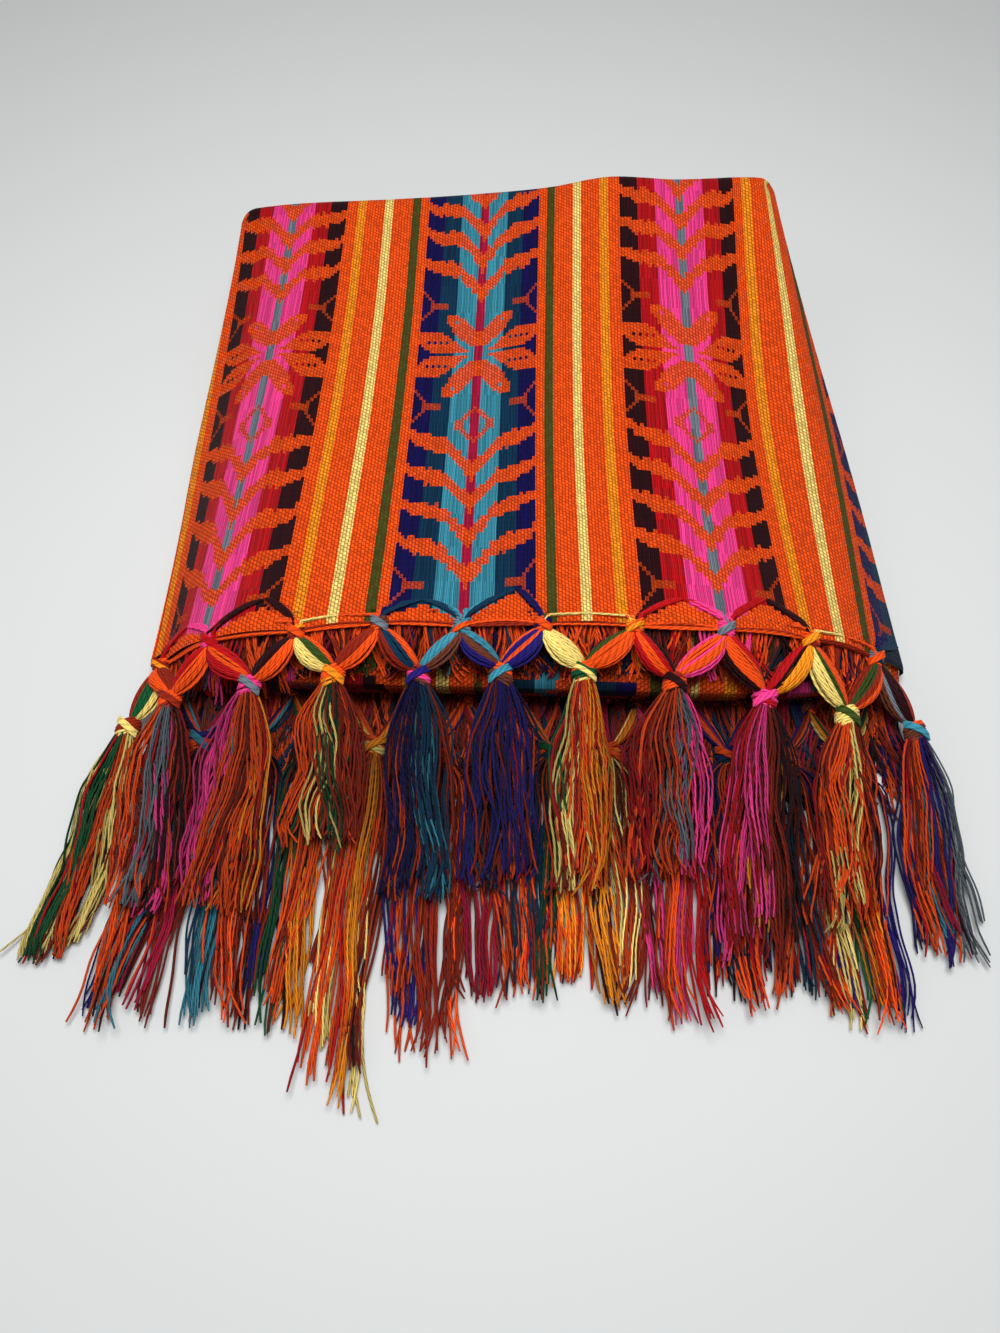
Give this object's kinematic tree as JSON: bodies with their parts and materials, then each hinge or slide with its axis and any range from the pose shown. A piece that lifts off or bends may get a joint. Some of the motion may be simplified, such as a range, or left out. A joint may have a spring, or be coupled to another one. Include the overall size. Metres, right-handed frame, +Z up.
{
  "type": "folded rebozo shawl",
  "caption": "Woven shawl folded into a rounded packet with a flat underside, both knotted and tasselled ends fanned out in front of it",
  "frame": {"origin": "in the middle of the packet's flat underside, on the surface that it rests on", "axes": "+X runs along the fringed ends to the right, +Y points from the fringe to the back fold, +Z is up"},
  "size_m": [0.3849, 0.4752, 0.0688],
  "materials": {
    "cloth_top": "soft sheen",
    "folded_layers": "soft sheen",
    "heading": "soft sheen",
    "yarn_yellow": "soft sheen",
    "yarn_amber": "soft sheen",
    "yarn_rust": "soft sheen",
    "yarn_pink": "soft sheen",
    "yarn_navy": "soft sheen",
    "yarn_teal": "soft sheen"
  },
  "bodies": {
    "root": {"cloth_top": "cloth_top", "folded_layers": "folded_layers", "fringe_heading_top": "heading", "fringe_heading_low": "heading", "tassel_top_01": "yarn_yellow", "tassel_top_02": "yarn_rust", "tassel_top_03": "yarn_pink", "tassel_top_04": "yarn_amber", "tassel_top_05": "yarn_navy", "tassel_top_06": "yarn_navy", "tassel_top_07": "yarn_yellow", "tassel_top_08": "yarn_rust", "tassel_top_09": "yarn_pink", "tassel_top_10": "yarn_amber", "tassel_top_11": "yarn_navy", "tassel_low_01": "yarn_navy", "tassel_low_02": "yarn_teal", "tassel_low_03": "yarn_navy", "tassel_low_04": "yarn_amber", "tassel_low_05": "yarn_navy", "tassel_low_06": "yarn_rust", "tassel_low_07": "yarn_amber", "tassel_low_08": "yarn_amber", "tassel_low_09": "yarn_pink", "tassel_low_10": "yarn_navy", "tassel_low_11": "yarn_teal", "tassel_low_12": "yarn_rust"}
  },
  "joints": []
}
